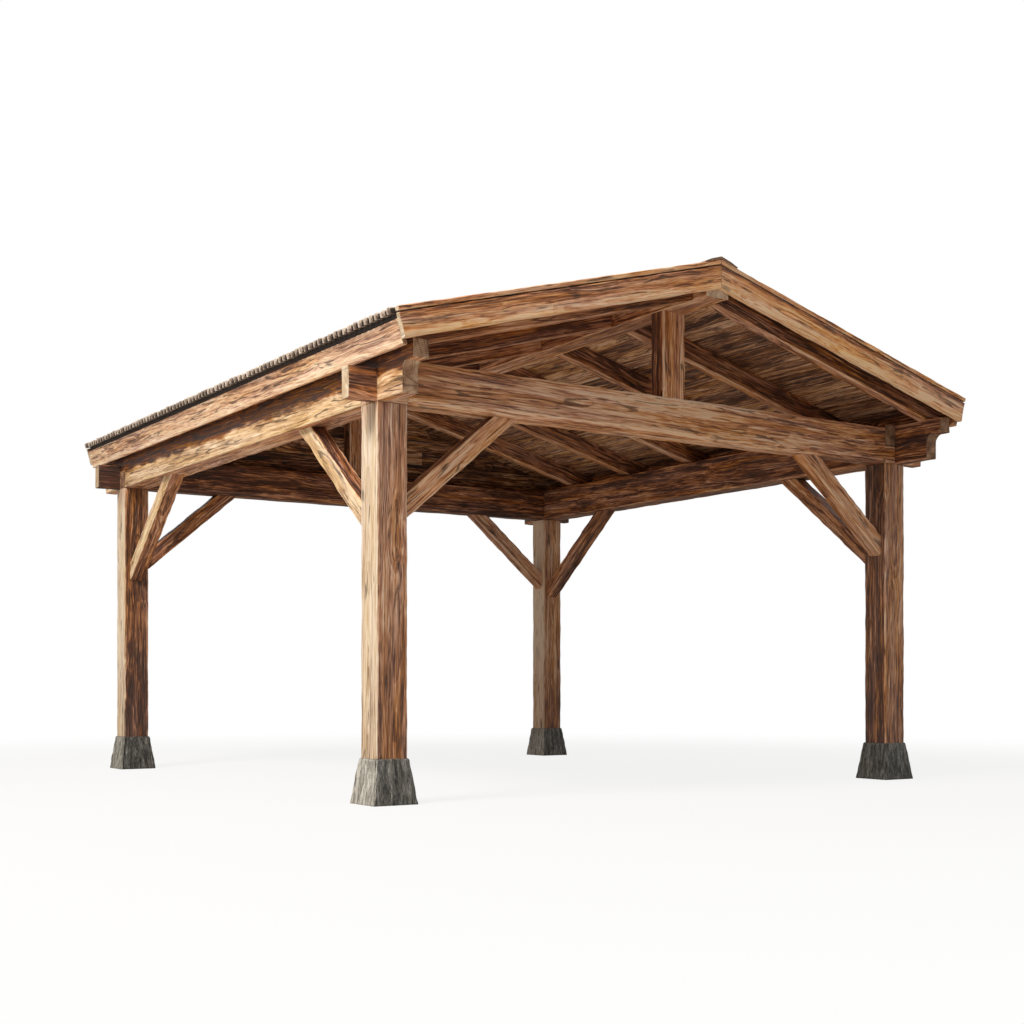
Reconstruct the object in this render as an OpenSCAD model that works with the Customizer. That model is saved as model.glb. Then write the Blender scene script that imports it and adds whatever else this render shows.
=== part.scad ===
// Double carport: a timber frame on four tapered stone plinths, with an open gable in
// front, a boarded one behind and a low pitched roof of boards and split shakes. Millimetres.
// X runs across the gable, Y along the ridge, Z up; the origin is at ground level
// in the middle of the bay.

/* [Bay] */
// Clear width between the posts
bay_w = 4950; // [4500:10:5600]
// Clear length between the posts
bay_l = 5170; // [4800:10:5800]
// Height from the ground to the underside of the beams
head_h = 2870; // [2500:10:3200]

/* [Posts and plinths] */
// Side of the square posts
post_w = 250; // [220:5:280]
// Height of a plinth
plinth_h = 330; // [200:10:450]
// Side of a plinth at the ground
plinth_base = 380; // [340:5:420]
// Side of a plinth under the post
plinth_top = 280; // [270:5:300]

/* [Beams] */
// Height of the tie beams
tie_h = 320; // [290:5:340]
// Height of the eave plates
plate_h = 350; // [345:5:380]
// Depth of the cross lap, measured up from the underside
lap_h = 160; // [130:5:180]
// Length of tie beam that stands out past the plate
stub_l = 225; // [150:5:260]
// Height of that standing end, cut down under the eave
stub_h = 235; // [200:5:240]
// Thickness of that standing end, kept at the outer face
stub_t = 110; // [90:5:140]
// Chamfer along the lower edges of the tie beams
tie_chamfer = 45; // [30:5:50]
// Easing on the long edges of every timber
ease = 8; // [4:1:10]

/* [Plate ends] */
// Length of the lower part past the tie beam
tail_low = 365; // [300:5:400]
// Length of the upper part past the tie beam
tail_top = 520; // [480:5:540]
// Height of the upper part
tail_lip = 134; // [100:2:150]
// Radius of the cove between them
cove_r = 75; // [40:5:90]
// Thickness of a plate past the tie beam, kept at the outer face
tail_t = 125; // [100:5:160]

/* [Knee braces] */
// Reach of a tie beam brace's middle line along the beam, from the post
tie_reach = 880; // [700:10:950]
// Drop of a tie beam brace's middle line down the post, from the beam
tie_drop = 740; // [600:10:760]
// Reach of a plate brace's middle line along the plate, from the post
plate_reach = 1060; // [800:10:1200]
// Drop of a plate brace's middle line down the post, from the plate
plate_drop = 850; // [700:10:900]
// Depth of a brace, seen from the side
brace_d = 145; // [120:5:170]
// Thickness of a brace
brace_t = 140; // [100:5:150]

/* [Roof frame] */
// Pitch of the roof in degrees
pitch = 15; // [13:1:18]
// Depth of the rafters, square to the roof
rafter_d = 175; // [150:5:200]
// Thickness of the rafters
rafter_t = 100; // [80:5:120]
// Distance from the face of a barge board to the middle of the first rafter
rafter_in = 260; // [200:10:300]
// Depth of the birdsmouth at its heel
heel = 40; // [30:2:50]
// Length of rafter past the plate, along the slope and at its top
tail_run = 91; // [80:1:120]
// Width of the ridge beam
ridge_w = 230; // [180:5:250]
// Width of a king post
king_w = 230; // [180:5:250]
// Thickness of a king post
king_t = 160; // [120:5:200]

/* [Roof edges] */
// Overhang of the roof, from the middle of a post to the face of the barge board
gable_over = 700; // [690:5:760]
// Thickness of the roof boards
deck_t = 38; // [30:1:45]
// Width of one roof board
board_w = 150; // [120:5:200]
// Depth of the vee between two boards
board_vee = 6; // [4:1:8]
// Lap of the lowest roof board over the fascia
board_lap = 15; // [10:1:25]
// Thickness of the boards that close the rear gable
gable_t = 26; // [22:1:32]
// Lap of those boards down the back of the tie beam
gable_lap = 60; // [40:5:90]
// Height of a barge board
barge_h = 180; // [160:5:200]
// Thickness of a barge board
barge_t = 50; // [40:5:60]
// Height of the verge strip on a barge board
verge_h = 40; // [35:1:45]
// Height of an eave fascia
fascia_h = 180; // [160:5:190]
// Thickness of an eave fascia
fascia_t = 40; // [30:5:50]

/* [Shakes] */
// Length of shake that shows in each course
course_e = 205; // [180:5:240]
// Height of a course above the boards at its lower edge
butt_h = 52; // [46:1:60]
// Fall of a course from its lower edge to the next one up
course_fall = 22; // [18:1:26]
// Overhang of the first course past the fascia
drip = 28; // [15:1:40]
// Width of each wing of the ridge cap
cap_w = 150; // [120:5:180]
// Thickness of the ridge cap
cap_t = 22; // [18:1:30]

/* [Hidden] */

timber = [0.56, 0.37, 0.23];
pale_timber = [0.66, 0.46, 0.29];
board_brown = [0.38, 0.25, 0.16];
shake_grey = [0.45, 0.39, 0.33];
stone = [0.42, 0.42, 0.40];

post_x = (bay_w + post_w) / 2;
post_y = (bay_l + post_w) / 2;
gable_y = post_y + gable_over;
frame_y = gable_y - barge_t;
plate_top = head_h + plate_h;
plate_in = post_x - post_w / 2;
plate_out = post_x + post_w / 2;
tie_face = post_y + post_w / 2;

// The roof planes fall from the ridge line: rafter_z is the height at the ridge of
// the plane through the rafters' tops, and soffit_z of the one under them.
soffit_z = plate_top - heel + plate_out * tan(pitch);
rafter_z = soffit_z + rafter_d / cos(pitch);
ridge_z = soffit_z - ridge_w / 2 * tan(pitch);
rafter_end = (plate_out + tail_run) / cos(pitch);
fascia_end = rafter_end + fascia_t;
shake_end = fascia_end + drip;
rafter_pairs = 7;
rafter_first = gable_y - rafter_in;

// Length of the top course that lies level with the verge strips, under the cap
level_run = (butt_h - verge_h) / course_fall * course_e;
courses = floor((shake_end - cap_w - level_run) / course_e) + 1;

// How far a cutter runs past the face that it opens
over = 10;

// A point on the right slope: s down the slope from the ridge, n square to it.
function on_slope(s, n) = [
    s * cos(pitch) + n * sin(pitch),
    rafter_z - s * sin(pitch) + n * cos(pitch)
];

// The same plane cut plumb at a distance x from the ridge line.
function plumb(x, n) = [x, rafter_z + n / cos(pitch) - x * tan(pitch)];

// The point across the ridge from p.
function other_side(p) = [-p[0], p[1]];

// Section of a timber with eased edges, w wide and h high, standing on the axis.
module eased_section(w, h) {
    polygon([
        [-w / 2, ease], [-w / 2 + ease, 0], [w / 2 - ease, 0], [w / 2, ease],
        [w / 2, h - ease], [w / 2 - ease, h], [-w / 2 + ease, h], [-w / 2, h - ease]
    ]);
}

// Stands an outline drawn in X and Z upright and runs it along Y, centred on the XZ plane.
module along_y(length) {
    translate([0, length / 2, 0]) rotate([90, 0, 0]) linear_extrude(length) children();
}

// Sets a piece drawn for the front right corner at any of the four.
module at_corner(sx, sy) {
    mirror([sx < 0 ? 1 : 0, 0, 0]) mirror([0, sy > 0 ? 1 : 0, 0]) children();
}

module plinth(sx, sy) {
    half_base = plinth_base / 2;
    half_top = plinth_top / 2;
    side = [[-half_base, 0], [half_base, 0], [half_top, plinth_h], [-half_top, plinth_h]];
    color(stone) translate([sx * post_x, sy * post_y, 0]) intersection() {
        along_y(plinth_base) polygon(side);
        rotate([0, 0, 90]) along_y(plinth_base) polygon(side);
    }
}

module post(sx, sy) {
    color(timber) translate([sx * post_x, sy * post_y, plinth_h])
        linear_extrude(head_h - plinth_h)
            translate([0, -post_w / 2]) eased_section(post_w, post_w);
}

// A tie beam: notched on top for the plates that lap over it, cut down and thinned
// outside them to pass under the eave, and chamfered below between the posts.
module tie_beam(sy) {
    length = 2 * (plate_out + stub_l);
    color(timber) at_corner(1, -sy) translate([0, post_y, head_h]) difference() {
        rotate([0, 0, 90]) along_y(length) eased_section(post_w, tie_h);
        for (sx = [-1, 1]) {
            translate([sx * post_x - post_w / 2, -post_w, lap_h])
                cube([post_w, 2 * post_w, tie_h]);
            translate([sx * (plate_out + stub_l) - stub_l, -post_w, stub_h])
                cube([2 * stub_l, 2 * post_w, tie_h]);
            translate([sx * (plate_out + stub_l) - stub_l, -post_w / 2 - over, -over])
                cube([2 * stub_l, post_w - stub_t + over, tie_h]);
            translate([-plate_in, sx * post_w / 2, 0]) rotate([45, 0, 0])
                translate([0, -tie_chamfer / sqrt(2), -tie_chamfer / sqrt(2)])
                    cube([2 * plate_in, tie_chamfer * sqrt(2), tie_chamfer * sqrt(2)]);
        }
    }
}

// Side view of a plate from its middle to its coved end, along X and up Y.
module plate_side() {
    low_end = tie_face + tail_low;
    top_end = tie_face + tail_top;
    lip_z = plate_h - tail_lip;
    difference() {
        union() {
            square([low_end, plate_h]);
            translate([0, lip_z]) square([top_end, tail_lip]);
            translate([low_end - over, lip_z - cove_r]) square([cove_r + over, cove_r + over]);
        }
        translate([low_end + cove_r, lip_z - cove_r]) circle(r = cove_r, $fn = 64);
    }
}

// An eave plate: lapped down over both tie beams, thinned past them, with a cove cut
// on each end.
module eave_plate(sx) {
    color(pale_timber) at_corner(sx, -1) translate([post_x, 0, head_h]) difference() {
        intersection() {
            along_y(2 * (tie_face + tail_top)) eased_section(post_w, plate_h);
            for (sy = [-1, 1])
                mirror([0, sy > 0 ? 1 : 0, 0]) rotate([0, 0, -90]) along_y(post_w) plate_side();
        }
        for (sy = [-1, 1]) {
            translate([-post_w, sy * post_y - post_w / 2, -over])
                cube([2 * post_w, post_w, lap_h + over]);
            translate([-post_w / 2 - over, sy * (tie_face + tail_top) - tail_top, -over])
                cube([post_w - tail_t + over, 2 * tail_top, plate_h + 2 * over]);
        }
    }
}

// A knee brace in the corner of post and beam, cut to fit against both.
module brace(reach, drop) {
    length = norm([reach, drop]);
    foot = brace_d / 2 * length / reach;
    head = brace_d / 2 * length / drop;
    polygon([
        [0, -drop - foot], [0, -drop + foot],
        [reach - head, 0], [reach + head, 0]
    ]);
}

module tie_brace(sx, sy) {
    color(timber) at_corner(sx, sy) translate([plate_in, -post_y, head_h])
        mirror([1, 0, 0]) along_y(brace_t) brace(tie_reach, tie_drop);
}

module plate_brace(sx, sy) {
    color(pale_timber) at_corner(sx, sy) translate([post_x, -post_y + post_w / 2, head_h])
        rotate([0, 0, 90]) along_y(brace_t) brace(plate_reach, plate_drop);
}

module king_post(sy) {
    back = tie_face - king_t / 2;
    color(timber) translate([0, sy * back, head_h + tie_h])
        linear_extrude(ridge_z - head_h - tie_h)
            square([king_w, king_t], center = true);
}

// The ridge beam, bevelled on top to both slopes, with the rafters butting its sides.
module ridge_beam() {
    half = ridge_w / 2;
    color(timber) along_y(2 * frame_y) polygon([
        [-half, ridge_z], [half, ridge_z], plumb(half, 0), plumb(0, 0),
        [-half, plumb(half, 0)[1]]
    ]);
}

// A rafter with a birdsmouth over the plate and its tail cut square for the fascia.
module rafter(sx, number) {
    y = -rafter_first + (number - 1) * 2 * rafter_first / (rafter_pairs - 1);
    color(timber) mirror([sx < 0 ? 1 : 0, 0, 0]) translate([0, y, 0]) difference() {
        along_y(rafter_t) polygon([
            plumb(ridge_w / 2, 0), on_slope(rafter_end, 0),
            on_slope(rafter_end, -rafter_d), plumb(ridge_w / 2, -rafter_d)
        ]);
        translate([plate_in, -rafter_t, head_h]) cube([post_w, 2 * rafter_t, plate_h]);
    }
}

// Horizontal boards that close the rear gable behind the king post: notched over the
// plates, round the ridge beam and under the roof boards, with a vee at each joint.
module gable_boards() {
    rows = floor((rafter_z - head_h - tie_h + gable_lap) / board_w);
    foot = head_h + tie_h - gable_lap;
    vees = [
        for (row = [1 : rows], side = [-1, 0, 1])
            [side == 0 ? board_vee : 0, row * board_w + side * board_vee]
    ];
    color(board_brown) translate([0, tie_face, 0]) intersection() {
        translate([-plate_out, 0, foot]) rotate([90, 0, 90]) linear_extrude(2 * plate_out)
            polygon([
                [0, 0], each vees, [0, (rows + 1) * board_w], [gable_t, (rows + 1) * board_w],
                for (i = [len(vees) - 1 : -1 : 0]) [gable_t - vees[i][0], vees[i][1]],
                [gable_t, 0]
            ]);
        translate([0, gable_t / 2, 0]) along_y(2 * gable_t) difference() {
            polygon([
                plumb(0, 0), plumb(plate_out, 0), [plate_out, plate_top],
                [plate_out - tail_t, plate_top], [plate_out - tail_t, foot],
                [tail_t - plate_out, foot], [tail_t - plate_out, plate_top],
                [-plate_out, plate_top], other_side(plumb(plate_out, 0))
            ]);
            translate([-ridge_w / 2, ridge_z]) square([ridge_w, rafter_z]);
        }
    }
}

// The roof boards of one slope, laid along the ridge, with a vee at each joint below.
module roof_boards(sx) {
    rows = floor((rafter_end - board_w / 2) / board_w);
    edge = rafter_end + board_lap;
    color(board_brown) mirror([sx < 0 ? 1 : 0, 0, 0]) along_y(2 * frame_y) polygon([
        plumb(0, 0), plumb(0, deck_t), on_slope(edge, deck_t), on_slope(edge, 0),
        for (row = [0 : rows - 1], side = [board_vee, 0, -board_vee])
            on_slope(rafter_end - (row + 1) * board_w + side, side == 0 ? board_vee : 0)
    ]);
}

module fascia(sx) {
    color(pale_timber) mirror([sx < 0 ? 1 : 0, 0, 0]) along_y(2 * frame_y) polygon([
        on_slope(rafter_end, 0), on_slope(fascia_end, 0),
        on_slope(fascia_end, -fascia_h), on_slope(rafter_end, -fascia_h)
    ]);
}

// A board on the gable between two heights square to the slope, plumb at the ridge.
module gable_board(sx, sy, low, high) {
    at_corner(sx, sy) translate([0, -gable_y + barge_t / 2, 0]) along_y(barge_t) polygon([
        plumb(0, low), plumb(0, high), on_slope(fascia_end, high), on_slope(fascia_end, low)
    ]);
}

module barge_board(sx, sy) {
    color(timber) gable_board(sx, sy, deck_t - barge_h, deck_t);
}

module verge_strip(sx, sy) {
    color(pale_timber) gable_board(sx, sy, deck_t, deck_t + verge_h);
}

// The shakes of one slope: each course drops from its butt to the foot of the next.
module shakes(sx) {
    last = shake_end - (courses - 1) * course_e;
    color(shake_grey) mirror([sx < 0 ? 1 : 0, 0, 0]) along_y(2 * frame_y) polygon([
        plumb(0, deck_t), plumb(0, deck_t + verge_h),
        on_slope(last - level_run, deck_t + verge_h), on_slope(last, deck_t + butt_h),
        for (course = [courses - 2 : -1 : 0], edge = [1, 0])
            on_slope(shake_end - (course + edge) * course_e,
                     deck_t + butt_h - edge * course_fall),
        on_slope(shake_end, deck_t)
    ]);
}

// The ridge cap: a wing down each slope, on the shakes and the verge strips.
module ridge_cap() {
    low = deck_t + verge_h;
    high = low + cap_t;
    color(pale_timber) along_y(2 * gable_y) polygon([
        plumb(0, low), on_slope(cap_w, low), on_slope(cap_w, high),
        plumb(0, high), other_side(on_slope(cap_w, high)), other_side(on_slope(cap_w, low))
    ]);
}

plinth(-1, -1);  // front_left_plinth
plinth(1, -1);  // front_right_plinth
plinth(-1, 1);  // rear_left_plinth
plinth(1, 1);  // rear_right_plinth
post(-1, -1);  // front_left_post
post(1, -1);  // front_right_post
post(-1, 1);  // rear_left_post
post(1, 1);  // rear_right_post
tie_beam(-1);  // front_tie_beam
tie_beam(1);  // rear_tie_beam
eave_plate(-1);  // left_eave_plate
eave_plate(1);  // right_eave_plate
tie_brace(-1, -1);  // front_left_tie_brace
tie_brace(1, -1);  // front_right_tie_brace
tie_brace(-1, 1);  // rear_left_tie_brace
tie_brace(1, 1);  // rear_right_tie_brace
plate_brace(-1, -1);  // front_left_plate_brace
plate_brace(1, -1);  // front_right_plate_brace
plate_brace(-1, 1);  // rear_left_plate_brace
plate_brace(1, 1);  // rear_right_plate_brace
king_post(-1);  // front_king_post
king_post(1);  // rear_king_post
ridge_beam();
rafter(-1, 1);  // left_rafter_1
rafter(-1, 2);  // left_rafter_2
rafter(-1, 3);  // left_rafter_3
rafter(-1, 4);  // left_rafter_4
rafter(-1, 5);  // left_rafter_5
rafter(-1, 6);  // left_rafter_6
rafter(-1, 7);  // left_rafter_7
rafter(1, 1);  // right_rafter_1
rafter(1, 2);  // right_rafter_2
rafter(1, 3);  // right_rafter_3
rafter(1, 4);  // right_rafter_4
rafter(1, 5);  // right_rafter_5
rafter(1, 6);  // right_rafter_6
rafter(1, 7);  // right_rafter_7
gable_boards();  // rear_gable_boards
roof_boards(-1);  // left_roof_boards
roof_boards(1);  // right_roof_boards
fascia(-1);  // left_fascia
fascia(1);  // right_fascia
barge_board(-1, -1);  // front_left_barge_board
barge_board(1, -1);  // front_right_barge_board
barge_board(-1, 1);  // rear_left_barge_board
barge_board(1, 1);  // rear_right_barge_board
verge_strip(-1, -1);  // front_left_verge_strip
verge_strip(1, -1);  // front_right_verge_strip
verge_strip(-1, 1);  // rear_left_verge_strip
verge_strip(1, 1);  // rear_right_verge_strip
shakes(-1);  // left_shakes
shakes(1);  // right_shakes
ridge_cap();
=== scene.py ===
"""Double carport: the looks of a timber frame on tapered plinths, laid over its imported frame.

Metres. X runs across the gable, Y along the ridge, Z up, and the ground is at zero.
"""

import bpy
import numpy as np
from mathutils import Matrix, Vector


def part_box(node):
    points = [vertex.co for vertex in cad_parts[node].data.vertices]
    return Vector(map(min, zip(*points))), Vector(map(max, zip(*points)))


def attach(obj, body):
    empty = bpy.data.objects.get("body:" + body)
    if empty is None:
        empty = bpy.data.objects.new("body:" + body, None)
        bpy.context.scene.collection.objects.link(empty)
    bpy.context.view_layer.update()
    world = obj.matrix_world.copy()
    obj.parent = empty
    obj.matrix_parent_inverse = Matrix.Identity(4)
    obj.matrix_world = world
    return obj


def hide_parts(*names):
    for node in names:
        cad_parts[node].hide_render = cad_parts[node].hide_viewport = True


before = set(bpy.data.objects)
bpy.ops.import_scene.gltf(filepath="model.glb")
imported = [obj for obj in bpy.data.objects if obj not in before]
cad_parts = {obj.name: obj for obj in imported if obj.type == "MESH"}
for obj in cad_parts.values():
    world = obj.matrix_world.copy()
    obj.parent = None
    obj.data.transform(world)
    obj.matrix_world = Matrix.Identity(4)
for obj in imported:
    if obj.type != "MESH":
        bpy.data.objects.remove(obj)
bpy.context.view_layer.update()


# ----------------------------------------
# Camera: a person's eye low down beside the front left corner, kept level so
# that the posts stay upright, with the picture raised instead of the lens.
camera_data = bpy.data.cameras.new("camera")
camera_data.lens = 51.16
camera_data.sensor_width = 36.0
camera_data.shift_y = 0.1690
camera = bpy.data.objects.new("camera", camera_data)
camera.location = (-7.614, -11.961, 0.856)
camera.rotation_euler = (np.pi / 2, 0.0, -np.radians(33.478))
bpy.context.scene.collection.objects.link(camera)
bpy.context.scene.camera = camera
bpy.context.scene.view_settings.view_transform = "Standard"


# ----------------------------------------
# Stage: a pale studio floor that fades to white away from the carport, one
# broad soft lamp high on the left, and even light from all round.
def srgb(hex_colour):
    """Linear colour of an sRGB hex value: c / 12.92 where dark, else ((c + 0.055) / 1.055) to the 2.4."""
    channels = np.array([int(hex_colour[i:i + 2], 16) for i in (1, 3, 5)]) / 255
    bright = ((channels + 0.055) / 1.055) ** 2.4
    linear = np.where(channels <= 0.04045, channels / 12.92, bright)
    return (*linear.tolist(), 1.0)


def add(tree, kind, inputs=(), out=0, stops=(), **settings):
    """Adds a shader node and returns one output. An input that is a socket is linked, any other is set.

    Stops are the places and colours of a ramp.
    """
    made = tree.nodes.new("ShaderNode" + kind)
    for setting, value in settings.items():
        setattr(made, setting, value)
    for key, value in dict(inputs).items():
        if isinstance(value, bpy.types.NodeSocket):
            tree.links.new(value, made.inputs[key])
        else:
            made.inputs[key].default_value = value
    for number, (place, colour) in enumerate(stops):
        shades = made.color_ramp.elements
        shade = shades[number] if number < 2 else shades.new(place)
        shade.position = place
        shade.color = srgb(colour)
    return made.outputs[out] if len(made.outputs) else None


def blank(kind, name):
    """A new material or world with nothing in its node tree, and that tree."""
    made = kind.new(name)
    made.use_nodes = True
    made.node_tree.nodes.clear()
    return made, made.node_tree


# Matt floor paint: it takes a soft shadow near the carport and is plain white to the eye further out.
floor_paint, tree = blank(bpy.data.materials, "matt white floor paint")
place = add(tree, "TexCoord", out="Object")
from_middle = add(tree, "VectorMath", {0: place}, out="Value", operation="LENGTH")
far = add(tree, "MapRange", {"Value": from_middle, "From Min": 4.5, "From Max": 13.0, "To Min": 0.86},
          interpolation_type="SMOOTHSTEP")
seen = add(tree, "LightPath", out="Is Camera Ray")
white = add(tree, "Math", {0: seen, 1: far}, operation="MULTIPLY")
paint = add(tree, "BsdfDiffuse", {"Color": srgb("#d9d7d2")})
glow = add(tree, "Emission", {"Color": (1.0, 1.0, 1.0, 1.0), "Strength": 1.0})
add(tree, "OutputMaterial", {"Surface": add(tree, "MixShader", {0: white, 1: paint, 2: glow})})

floor_radius = 60
turn = np.linspace(0, 2 * np.pi, 96, endpoint=False)
rim = floor_radius * np.column_stack([np.cos(turn), np.sin(turn), 0 * turn])
floor_mesh = bpy.data.meshes.new("floor")
floor_mesh.from_pydata(rim.tolist(), [], [list(range(len(rim)))])
floor_mesh.materials.append(floor_paint)
floor = bpy.data.objects.new("floor", floor_mesh)
bpy.context.scene.collection.objects.link(floor)

lamp_data = bpy.data.lights.new("soft lamp", "AREA")
lamp_data.shape = "DISK"
lamp_data.size = 5.0
lamp_data.energy = 2500.0
lamp_data.color = srgb("#fff8ee")[:3]
lamp = bpy.data.objects.new("soft lamp", lamp_data)
lamp_aim = np.array([0.0, 0.0, 1.8])
lamp_way = np.array([-0.700, -0.280, 0.657])
lamp_away = 17.0
lamp.location = (lamp_aim + lamp_away * lamp_way).tolist()
lamp.rotation_euler = (np.arccos(lamp_way[2]), 0.0, np.arctan2(lamp_way[1], lamp_way[0]) + np.pi / 2)
bpy.context.scene.collection.objects.link(lamp)

world, tree = blank(bpy.data.worlds, "even studio light")
bpy.context.scene.world = world
path = add(tree, "LightPath").node
seen = path.outputs["Is Camera Ray"]
for ray in ["Is Glossy Ray", "Is Transmission Ray"]:
    seen = add(tree, "Math", {0: seen, 1: path.outputs[ray]}, operation="MAXIMUM")
soft = add(tree, "Background", {"Color": srgb("#f5f1ea"), "Strength": 0.39})
plain = add(tree, "Background", {"Color": (1.0, 1.0, 1.0, 1.0), "Strength": 1.0})
add(tree, "OutputWorld", {"Surface": add(tree, "MixShader", {0: seen, 1: soft, 2: plain})})


# ----------------------------------------
# Plinths: one block of grey stone under each post, tapered, with its sides
# tooled in upright strokes and its edges knocked back; the post stands on it.
corners = ["front_left", "front_right", "rear_left", "rear_right"]
# The ways along and out of each side of a square: front, right, rear, left.
side_way = np.array([[1.0, 0.0], [0.0, 1.0], [-1.0, 0.0], [0.0, -1.0]])
out_way = np.roll(side_way, 1, 0)


def box(node):
    """The lowest and the highest corner of a node of the frame."""
    return [np.array(corner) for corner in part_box(node)]


def ripple(points, rng, along_run, across_run, count=10):
    """Uneven hand work from -1 to 1 at each point: sine waves in seeded directions, summed, over root count.

    A wave is at most along_run long in the first coordinate and across_run in the other two.
    """
    along = 2 * np.pi / (along_run * rng.uniform(0.25, 1.0, count))
    across = 2 * np.pi / (across_run * rng.uniform(0.35, 1.0, (count, 2)))
    waves = np.column_stack([along, across * rng.choice([-1, 1], (count, 2))])
    swell = np.sin(points @ waves.T + rng.uniform(0, 2 * np.pi, count))
    return np.clip(swell.sum(1) / np.sqrt(count), -1, 1)


def add_piece(name, points, finishes, nodes, values, flip=False):
    """Joins rings of points, shaped (ring, place round it, 3), into a closed skin with a cap on each end.

    One dimension more holds several skins. Flip turns the rings round, for rings that run clockwise. Every
    face that looks along the line from the first ring to the last takes the second finish, if there is one.
    The values are laid on the points: the grain is a vector, any other a number.
    """
    count, around = points.shape[-3:-1]
    turn = -1 if flip else 1
    flat = points[..., ::turn, :].reshape(-1, 3)
    index = np.arange(len(flat)).reshape(-1, count, around)
    here = index[:, :-1]
    onward = index[:, 1:]
    sides = np.stack([here, np.roll(here, -1, 2), np.roll(onward, -1, 2), onward], -1).reshape(-1, 4)
    ends = np.concatenate([index[:, 0, ::-1], index[:, -1]])
    loops = np.concatenate([sides.ravel(), ends.ravel()])
    sizes = np.concatenate([np.full(len(sides), 4), np.full(len(ends), around)])
    mesh = bpy.data.meshes.new(name)
    mesh.vertices.add(len(flat))
    mesh.vertices.foreach_set("co", flat.astype(np.float32).ravel())
    mesh.loops.add(len(loops))
    mesh.loops.foreach_set("vertex_index", loops.astype(np.int32))
    mesh.polygons.add(len(sizes))
    mesh.polygons.foreach_set("loop_start", (np.cumsum(sizes) - sizes).astype(np.int32))
    for finish in finishes:
        mesh.materials.append(finish)
    mesh.update(calc_edges=True)
    normals = np.empty(len(sizes) * 3, np.float32)
    mesh.polygons.foreach_get("normal", normals)
    along = flat[index[0, -1]].mean(0) - flat[index[0, 0]].mean(0)
    across_grain = np.abs(normals.reshape(-1, 3) @ along) > 0.25 * np.linalg.norm(along)
    mesh.polygons.foreach_set("material_index", across_grain.astype(np.int32) * (len(finishes) - 1))
    for value_name, value in values.items():
        wide = value_name == "grain"
        spread = np.broadcast_to(value, points.shape if wide else points.shape[:-1])
        spread = spread[..., ::turn, :] if wide else spread[..., ::turn]
        layer = mesh.attributes.new(value_name, "FLOAT_VECTOR" if wide else "FLOAT", "POINT")
        layer.data.foreach_set("vector" if wide else "value", spread.astype(np.float32).ravel())
    mesh.shade_smooth()
    mesh.set_sharp_from_angle(angle=np.radians(40))
    made = bpy.data.objects.new(name, mesh)
    bpy.context.scene.collection.objects.link(made)
    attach(made, "root")
    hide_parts(*nodes)


def bleached_and_lit(tree, turned, full):
    """Bleaching and painted light on the lamp side: its own measure, as normal X goes from turned to full."""
    facing = add(tree, "SeparateXYZ", {0: add(tree, "NewGeometry", out="Normal")}, out="X")
    facing = add(tree, "MapRange", {"Value": facing, "From Min": turned, "From Max": full})
    exposed_and_lit = add(tree, "Attribute", out="Fac", attribute_name="weather_and_light")
    return add(tree, "Math", {0: facing, 1: exposed_and_lit}, operation="MULTIPLY")


def close_skin(tree, tint, dull, height, strength=0.9):
    """Ends a finish with its skin: the tint, how dull it is, and a height in m as fine relief."""
    relief = add(tree, "Bump", {"Height": height, "Distance": 1.0, "Strength": strength})
    skin = add(tree, "BsdfPrincipled", {"Base Color": tint, "Roughness": dull, "Normal": relief})
    add(tree, "OutputMaterial", {"Surface": skin})


# Basalt worked with a point chisel: dull, dark in the strokes, paler on the side that takes the weather
# and faces the lamp, partly dry stone and partly painted light.
tooled_stone, tree = blank(bpy.data.materials, "tooled grey basalt")
place = add(tree, "TexCoord", out="Object")
stone = {}
stone_sizes = {"stroke": (26, 420, 3.0), "chip": (9, 60, 2.0), "cloud": (130, 190, 2.0), "grit": (6, 6, 1.0)}
for part, (wide, tall, detail) in stone_sizes.items():
    repeats = 1000 / wide, 1000 / wide, 1000 / tall
    scaled = add(tree, "VectorMath", {0: place, 1: repeats}, operation="MULTIPLY")
    stone[part] = add(tree, "TexNoise", {"Vector": scaled, "Scale": 1.0, "Detail": detail, "Roughness": 0.6})
mixed = add(tree, "Math", {0: stone["stroke"], 1: 0.7, 2: -0.32}, operation="MULTIPLY_ADD")
for part, weight in [("chip", 0.5), ("cloud", 0.2), ("grit", 0.25)]:
    mixed = add(tree, "Math", {0: stone[part], 1: weight, 2: mixed}, operation="MULTIPLY_ADD")
shift = add(tree, "Attribute", out="Fac", attribute_name="tone")
mixed = add(tree, "Math", {0: shift, 1: mixed}, operation="ADD")
stone_steps = [0.33, 0.42, 0.51, 0.61, 0.71]
# Two copies of the stone's shades: darker ones for shaded sides, paler ones for the lamp side, partly painted
# light.
damp_and_shaded = add(tree, "ValToRGB", {"Fac": mixed},
           stops=zip(stone_steps, ["#2c2c2a", "#4d4d4a", "#6a6966", "#888784", "#a3a29f"]))
dry_and_lit = add(tree, "ValToRGB", {"Fac": mixed},
          stops=zip(stone_steps, ["#625f58", "#8f8c84", "#b2afa8", "#ccc9c4", "#dedcd8"]))
weather_and_light = bleached_and_lit(tree, -0.35, -0.75)
tint = add(tree, "Mix", {0: weather_and_light, 6: damp_and_shaded, 7: dry_and_lit}, out=2, data_type="RGBA")
height = add(tree, "Math", {0: stone["stroke"], 1: 0.012}, operation="MULTIPLY")
for part, deep in [("chip", 0.004), ("grit", 0.0015)]:
    height = add(tree, "Math", {0: stone[part], 1: deep, 2: height}, operation="MULTIPLY_ADD")
close_skin(tree, tint, 0.88, height)

# Per plinth, as painted shade: the rear left and front right blocks are darker, and the front right one takes
# none of the pale stone on its lamp side.
block_tones = [-0.03, -0.05, -0.12, 0.0]
block_weather_and_light = [1.0, 0.0, 0.9, 1.0]
half_top = 0.140
knock = 0.014
foot_knock = 0.004
stroke_deep = 0.0035
rough_deep = 0.003
per_side = 16
per_height = 26
face_share = 0.91
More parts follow.
